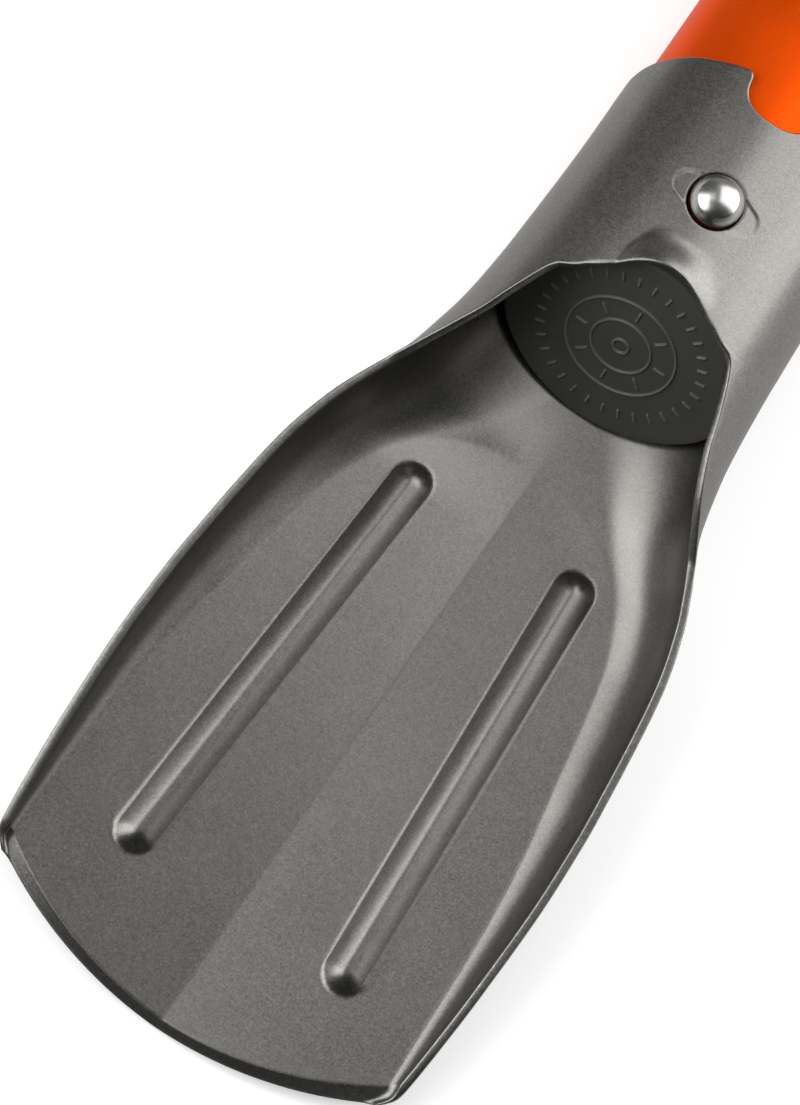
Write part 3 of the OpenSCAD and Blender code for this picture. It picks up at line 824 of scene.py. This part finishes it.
def make_tube():
    """The thin oval tube with soft lips at both ends and round the lock hole."""
    zone = math.acos(ZONE / BIG)
    top_x = knots([ZONE, HOLE_SQUARE, -HOLE_SQUARE, -ZONE], ZONE_COUNTS[1:4])
    phi = np.linspace(math.pi - zone, 2 * math.pi + zone, TUBE_COLS)[1:-1]
    y1, y2 = BUTTON_AT - ZONE, BUTTON_AT + ZONE
    back = TUBE_TO - LIP_R
    marks = knots([0, 1, 2, 3, 4, 5], TUBE_ROWS)
    stops = [y1, BUTTON_AT - HOLE_SQUARE, BUTTON_AT + HOLE_SQUARE, y2, back]
    sheet = Sheet()
    faces = []
    for inset in (TUBE_T, 0):
        side_x, side_z = oval(inset, phi)
        top_z = np.sqrt((BIG - inset) ** 2 - top_x**2) - DROP
        z = np.concatenate([top_z, side_z])
        front = TUBE_FROM + LIP_R + z * SLANT
        rows = []
        for m in marks:
            k = min(int(m), 4)
            a = front if k == 0 else np.full_like(z, stops[k - 1])
            y = mix(a, stops[k], m - k)
            wx, wy = round_hole(top_x, y[: len(top_x)], BUTTON_AT)
            wz = np.sqrt((BIG - inset) ** 2 - wx**2) - DROP
            top = np.stack([wx, wy, wz], axis=1)
            side = np.stack([side_x, y[len(top_x) :], side_z], axis=1)
            rows.append(np.concatenate([top, side]))
        faces.append(sheet.add(np.stack(rows) + [0, TIP_Y, AXIS_Z]))
    r_in, r_out = faces
    k = np.cumsum((0,) + TUBE_ROWS)
    j = np.cumsum((0,) + ZONE_COUNTS[1:4])
    for r, flip in ((r_in, True), (r_out, False)):
        closed = np.concatenate([r, r[:, :1]], axis=1)
        skip = np.zeros((closed.shape[0] - 1, closed.shape[1] - 1), bool)
        skip[k[2] : k[3], j[1] : j[2]] = True
        sheet.grid(closed, flip, skip)
    sheet.rounded_edge(r_in[0], r_out[0], r_in[1], LIP_R)
    sheet.rounded_edge(r_in[-1], r_out[-1], r_in[-2], LIP_R)
    hole_in, hole_out = (square_loop(r, k[2], k[3], j[1], j[2]) for r in (r_in, r_out))
    sheet.rounded_hole(hole_in, hole_out, LIP_R)
    return sheet.build("tube")


for piece, node, body, slot in (
    (make_tube(), "handle_tube", "handle", "handle_metal"),
    (make_end_cap(), "end_cap", "handle", "black_plastic"),
    (make_lid(), "storage_lid", "lid", "black_plastic"),
    (make_seal(), "lid_seal", "lid", "seal_rubber"),
    (make_button(), "snap_button", "button", "polished_steel"),
):
    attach(piece, body)
    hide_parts(node)

# ---------------------------------------------------------------- materials


class Look:
    """A Principled material whose inputs are driven by noise in the object's own coordinates."""

    def __init__(self, name, metallic, rough, specular=0.5):
        self.material = bpy.data.materials.new(name)
        self.material.use_nodes = True
        self.tree = self.material.node_tree
        self.shader = self.tree.nodes["Principled BSDF"]
        self.shader.inputs["Metallic"].default_value = metallic
        self.shader.inputs["Roughness"].default_value = rough
        self.shader.inputs["Specular IOR Level"].default_value = specular
        self.place = self.node("ShaderNodeTexCoord").outputs["Object"]
        self.normal = None

    def node(self, kind, **settings):
        node = self.tree.nodes.new(kind)
        for key, value in settings.items():
            setattr(node, key, value)
        return node

    def put(self, socket, value):
        if isinstance(value, bpy.types.NodeSocket):
            self.tree.links.new(value, socket)
        elif hasattr(socket.default_value, "__len__") and not hasattr(value, "__len__"):
            socket.default_value = [value] * len(socket.default_value)
        else:
            socket.default_value = value

    def noise(self, size_mm, detail=2.0, rough=0.55, stretch=(1, 1, 1)):
        """Noise about 0.5 whose blobs are size_mm across, drawn out along an axis by stretch."""
        mapping = self.node("ShaderNodeMapping")
        mapping.inputs["Scale"].default_value = [1 / k for k in stretch]
        self.put(mapping.inputs["Vector"], self.place)
        noise = self.node("ShaderNodeTexNoise")
        self.put(noise.inputs["Vector"], mapping.outputs[0])
        noise.inputs["Scale"].default_value = 1 / (size_mm * MM)
        noise.inputs["Detail"].default_value = detail
        noise.inputs["Roughness"].default_value = rough
        return noise.outputs["Fac"]

    def math(self, kind, a, b=0.0):
        node = self.node("ShaderNodeMath", operation=kind)
        self.put(node.inputs[0], a)
        self.put(node.inputs[1], b)
        return node.outputs[0]

    def spread(self, value, low, high, out_low=0.0, out_high=1.0):
        node = self.node("ShaderNodeMapRange", interpolation_type="SMOOTHSTEP")
        for socket, v in zip(node.inputs, (value, low, high, out_low, out_high)):
            self.put(socket, v)
        return node.outputs[0]

    def wobble(self, base, *parts):
        """base times one plus each noise's distance from its middle, by that part's weight."""
        total = 1.0
        for noise, weight in parts:
            total = self.math("ADD", total, self.math("MULTIPLY", self.math("SUBTRACT", noise, 0.5), weight))
        return self.math("MULTIPLY", total, base)

    def blend(self, share, a, b):
        node = self.node("ShaderNodeMix", data_type="RGBA")
        self.put(node.inputs[0], share)
        self.put(node.inputs[6], a)
        self.put(node.inputs[7], b)
        return node.outputs[2]

    def tinted(self, color, amount):
        node = self.node("ShaderNodeVectorMath", operation="SCALE")
        node.inputs[0].default_value = color[:3]
        self.put(node.inputs[3], amount)
        return node.outputs[0]

    def bump(self, height, depth_mm, strength=1.0):
        node = self.node("ShaderNodeBump")
        node.inputs["Distance"].default_value = depth_mm * MM
        node.inputs["Strength"].default_value = strength
        self.put(node.inputs["Height"], height)
        if self.normal:
            self.put(node.inputs["Normal"], self.normal)
        self.normal = node.outputs[0]

    def finish(self, color, rough=None):
        self.put(self.shader.inputs["Base Color"], color)
        if rough is not None:
            self.put(self.shader.inputs["Roughness"], rough)
        if self.normal:
            self.put(self.shader.inputs["Normal"], self.normal)
        return self.material


def wear_share(look, low, high, grain):
    """Where the wear attribute and a noise together show the metal through."""
    wear = look.node("ShaderNodeAttribute", attribute_name="wear").outputs["Fac"]
    ragged = look.math("MULTIPLY", look.math("SUBTRACT", grain, 0.5), 1.6)
    return look.spread(look.math("ADD", wear, ragged), low, high)


def blasted_metal():
    """Bead-blasted, hard-anodised grey aluminium: fine sparkle, soft mottling, brighter cut edges."""
    look = Look("blasted_grey_metal", 1.0, 0.42)
    grain = look.noise(0.28, 2, 0.7)
    peel = look.noise(0.75, 3, 0.6)
    cloud = look.noise(5, 3, 0.5)
    drift = look.noise(38, 2, 0.5)
    base = look.wobble(1.0, (grain, 1.1), (peel, 0.4), (cloud, 0.16), (drift, 0.12))
    skin = look.tinted((0.208, 0.203, 0.191), base)
    bare = look.tinted((0.27, 0.265, 0.25), look.wobble(1.0, (look.noise(0.45, 2, 0.7), 2.0)))
    worn = wear_share(look, 0.75, 1.5, look.noise(1.2, 3, 0.6))
    rough = look.wobble(0.34, (grain, 0.5), (peel, 0.3), (drift, 0.12))
    look.bump(peel, 0.02, 0.6)
    look.bump(grain, 0.014, 0.7)
    return look.finish(look.blend(worn, skin, bare), rough)


def orange_anodise():
    """Satin orange anodised tube, drawn along its length and rubbed a little duller by the collar."""
    look = Look("satin_orange_anodise", 0.75, 0.42, 0.15)
    draw = look.noise(0.35, 2, 0.6, (1, 60, 1))
    grain = look.noise(0.22, 2, 0.6)
    cloud = look.noise(14, 3, 0.5)
    rub = look.spread(look.noise(2.2, 4, 0.7, (0.35, 14, 0.35)), 0.66, 0.74)
    base = look.wobble(1.0, (draw, 0.06), (grain, 0.08), (cloud, 0.12))
    dye = look.tinted((0.83, 0.080, 0.0006), base)
    color = look.blend(look.math("MULTIPLY", rub, 0.3), dye, (0.86, 0.30, 0.10, 1))
    rough = look.wobble(0.43, (draw, 0.25), (cloud, 0.3))
    look.bump(draw, 0.006, 0.35)
    look.bump(grain, 0.006, 0.4)
    return look.finish(color, rough)


def moulded_black():
    """Matt black moulded plastic with spark-eroded grain, faint handling marks and a painted highlight on the
    lid's raised dial lines.
    """
    look = Look("moulded_black", 0.0, 0.5, 0.5)
    grain = look.noise(0.22, 3, 0.65)
    cloud = look.noise(6, 3, 0.5)
    scuff = look.spread(look.noise(0.9, 5, 0.75, (6, 1, 1)), 0.63, 0.75)
    base = look.wobble(1.0, (grain, 0.3), (cloud, 0.35))
    skin = look.tinted((0.050, 0.049, 0.043), base)
    color = look.blend(look.math("MULTIPLY", scuff, 0.35), skin, (0.06, 0.06, 0.057, 1))
    # Painted highlight: where the lid's dial rises, the colour is lightened to a grey that stands in for the
    # light its raised lines catch.
    wear = look.node("ShaderNodeAttribute", attribute_name="wear").outputs["Fac"]
    color = look.blend(look.math("MULTIPLY", wear, 0.85), color, (0.13, 0.128, 0.12, 1))
    look.bump(grain, 0.012, 0.5)
    return look.finish(color, look.wobble(0.56, (grain, 0.25), (cloud, 0.25)))


def seal_rubber():
    """Black rubber with a faint sheen and a fine bloom."""
    look = Look("seal_rubber_black", 0.0, 0.6, 0.4)
    bloom = look.noise(1.4, 4, 0.6)
    look.bump(look.noise(0.15, 2, 0.6), 0.008, 0.4)
    look.shader.inputs["Sheen Weight"].default_value = 0.15
    color = look.tinted((0.018, 0.018, 0.018), look.wobble(1.0, (bloom, 0.8)))
    return look.finish(color, look.wobble(0.6, (bloom, 0.4)))


def polished_steel():
    """Polished steel with hair-fine scratches, a few nicks and greasy roughness patches."""
    look = Look("polished_steel", 1.0, 0.25)
    hair = look.noise(0.05, 3, 0.7, (1, 22, 1))
    nick = look.spread(look.noise(0.6, 4, 0.7), 0.64, 0.70)
    cloud = look.noise(1.8, 3, 0.6)
    bright = look.tinted((0.45, 0.446, 0.432), look.wobble(1.0, (cloud, 0.3)))
    color = look.blend(look.math("MULTIPLY", nick, 0.55), bright, (0.25, 0.25, 0.24, 1))
    look.bump(look.math("MULTIPLY", nick, -1.0), 0.02, 0.5)
    look.bump(hair, 0.0015, 0.35)
    return look.finish(color, look.wobble(0.25, (hair, 0.5), (cloud, 0.7)))


def rolled_steel():
    """Cold-rolled spring strip: lines along the roll and faint heat colour."""
    look = Look("rolled_spring_steel", 1.0, 0.3)
    lines = look.noise(0.12, 3, 0.6, (30, 1, 30))
    cloud = look.noise(4, 3, 0.5)
    color = look.blend(look.spread(cloud, 0.3, 0.8), (0.52, 0.52, 0.53, 1), (0.46, 0.41, 0.34, 1))
    look.bump(lines, 0.006, 0.5)
    return look.finish(color, look.wobble(0.3, (lines, 0.4), (cloud, 0.3)))


def dress(obj, material):
    """Gives an object one material all over."""
    obj.data.materials.clear()
    obj.data.materials.append(material)


BLACK = moulded_black()
for name, look in (
    ("shell", blasted_metal()),
    ("tube", orange_anodise()),
    ("cap", BLACK),
    ("lid", BLACK),
    ("seal", seal_rubber()),
    ("button", polished_steel()),
):
    dress(bpy.data.objects[name], look)
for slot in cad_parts["spring_band"].material_slots:
    slot.material = rolled_steel()

# ---------------------------------------------------------------- camera

scene = bpy.context.scene
scene.view_settings.view_transform = "Standard"

YAW, TILT, ROLL = math.radians(2.3), math.radians(12), math.radians(34.7)
to_camera = Vector((math.sin(YAW), -math.sin(TILT) * math.cos(YAW), math.cos(TILT) * math.cos(YAW)))
up_axis = (Vector((0, 1, 0)) - to_camera * to_camera.y).normalized()
right_axis = up_axis.cross(to_camera)
image_right = right_axis * math.cos(ROLL) + up_axis * math.sin(ROLL)
image_up = up_axis * math.cos(ROLL) - right_axis * math.sin(ROLL)

# How far the camera stands off, the frame's height at the object, and where it aims from the digging tip.
DISTANCE = 0.9
FRAME_H = 165.7 * MM
AIM_RIGHT, AIM_UP = 36.5, 70.85
tip = Vector((0, TIP_Y * MM, 2 * MM))
target = tip + image_right * AIM_RIGHT * MM + image_up * AIM_UP * MM

camera_data = bpy.data.cameras.new("camera")
camera_data.sensor_fit = "VERTICAL"
camera_data.sensor_height = 24
camera_data.lens = camera_data.sensor_height * DISTANCE / FRAME_H
camera_data.clip_start = 0.01
camera = bpy.data.objects.new("camera", camera_data)
axes = Matrix((image_right, image_up, to_camera)).transposed().to_4x4()
camera.matrix_world = Matrix.Translation(target + to_camera * DISTANCE) @ axes
scene.collection.objects.link(camera)
scene.camera = camera

# ---------------------------------------------------------------- light and floor

LIGHT_AWAY = 0.45


def softbox(name, side, lift, wide, tall, turn, radiance):
    """A soft panel, side degrees to the image's right and lift degrees up, wide by tall degrees across."""
    a, b = math.radians(side), math.radians(lift)
    level = to_camera * math.cos(a) + image_right * math.sin(a)
    way = level * math.cos(b) + image_up * math.sin(b)
    data = bpy.data.lights.new(name, "AREA")
    data.shape = "RECTANGLE"
    data.size = 2 * LIGHT_AWAY * math.tan(math.radians(wide / 2))
    data.size_y = 2 * LIGHT_AWAY * math.tan(math.radians(tall / 2))
    data.energy = radiance * math.pi * data.size * data.size_y
    light = bpy.data.objects.new(name, data)
    across = (image_right - way * image_right.dot(way)).normalized()
    axes = Matrix((across, way.cross(across), way)).transposed().to_4x4()
    spin = Matrix.Rotation(math.radians(turn), 4, way)
    light.matrix_world = Matrix.Translation(target + way * LIGHT_AWAY) @ spin @ axes
    light.visible_camera = False
    scene.collection.objects.link(light)


softbox("softbox_right", 59, 22, 66, 54, -6, 2.3)
softbox("softbox_left", -45, 15, 56, 48, -10, 3.1)
softbox("softbox_top", -8, 33, 25, 22, 0, 0.85)


def by_direction(tree, way, low, high, out_low, out_high):
    """A value that goes from out_low to out_high as a ray's share along the way goes from low to high."""
    place = tree.nodes.new("ShaderNodeTexCoord")
    dot = tree.nodes.new("ShaderNodeVectorMath")
    dot.operation = "DOT_PRODUCT"
    dot.inputs[1].default_value = way
    tree.links.new(place.outputs["Generated"], dot.inputs[0])
    spread = tree.nodes.new("ShaderNodeMapRange")
    spread.interpolation_type = "SMOOTHSTEP"
    for socket, value in zip(spread.inputs[1:5], (low, high, out_low, out_high)):
        socket.default_value = value
    tree.links.new(dot.outputs["Value"], spread.inputs[0])
    return spread.outputs[0]


CORNER_WAY = (image_up * 1.35 - image_right * 0.62 + to_camera * 0.85).normalized()
# The world's shades add up. Each has the low, high, out_low and out_high of by_direction.
SHADES = (
    (image_up, -0.4, 0.35, 0.05, 0.28),
    (CORNER_WAY, 0.8, 0.96, 0.0, -0.14),
    (image_right, 0.7, 0.92, 0.0, 0.9),
)
CAMERA_PALE = 0.88


def studio_world():
    """Grey up the image and darker down it, dim in one corner, bright to the right, pale to the camera."""
    world = bpy.data.worlds.new("studio")
    world.use_nodes = True
    tree = world.node_tree
    total, *others = (by_direction(tree, *shade) for shade in SHADES)
    for other in others:
        add = tree.nodes.new("ShaderNodeMath")
        tree.links.new(total, add.inputs[0])
        tree.links.new(other, add.inputs[1])
        total = add.outputs[0]
    path = tree.nodes.new("ShaderNodeLightPath")
    pick = tree.nodes.new("ShaderNodeMix")
    tree.links.new(path.outputs["Is Camera Ray"], pick.inputs[0])
    tree.links.new(total, pick.inputs[2])
    pick.inputs[3].default_value = CAMERA_PALE
    background = tree.nodes["Background"]
    tree.links.new(pick.outputs[0], background.inputs["Strength"])
    background.inputs["Color"].default_value = (1, 1, 1, 1)
    return world


scene.world = studio_world()

FLOOR_HALF = 3.0
FLOOR_Z = -0.2 * MM
FLOOR_GLOW = 0.42


def paper_floor():
    """A flat pale paper floor: faint fibre mottling, and a little glow so that it stays pale far off."""
    look = Look("pale_paper", 0.0, 0.9, 0.1)
    cloud = look.noise(60, 3, 0.5)
    look.bump(look.noise(0.8, 3, 0.6), 0.02, 0.2)
    look.shader.inputs["Emission Color"].default_value = (1, 1, 1, 1)
    path = look.node("ShaderNodeLightPath").outputs["Is Camera Ray"]
    look.put(look.shader.inputs["Emission Strength"], look.math("MULTIPLY", path, FLOOR_GLOW))
    return look.finish(look.tinted((0.8, 0.8, 0.8), look.wobble(1.0, (cloud, 0.02))))


floor_mesh = bpy.data.meshes.new("floor")
corners = [(x * FLOOR_HALF, y * FLOOR_HALF, 0) for x, y in ((-1, -1), (1, -1), (1, 1), (-1, 1))]
floor_mesh.from_pydata(corners, [], [(0, 1, 2, 3)])
floor = bpy.data.objects.new("floor", floor_mesh)
floor.location.z = FLOOR_Z
scene.collection.objects.link(floor)
dress(floor, paper_floor())
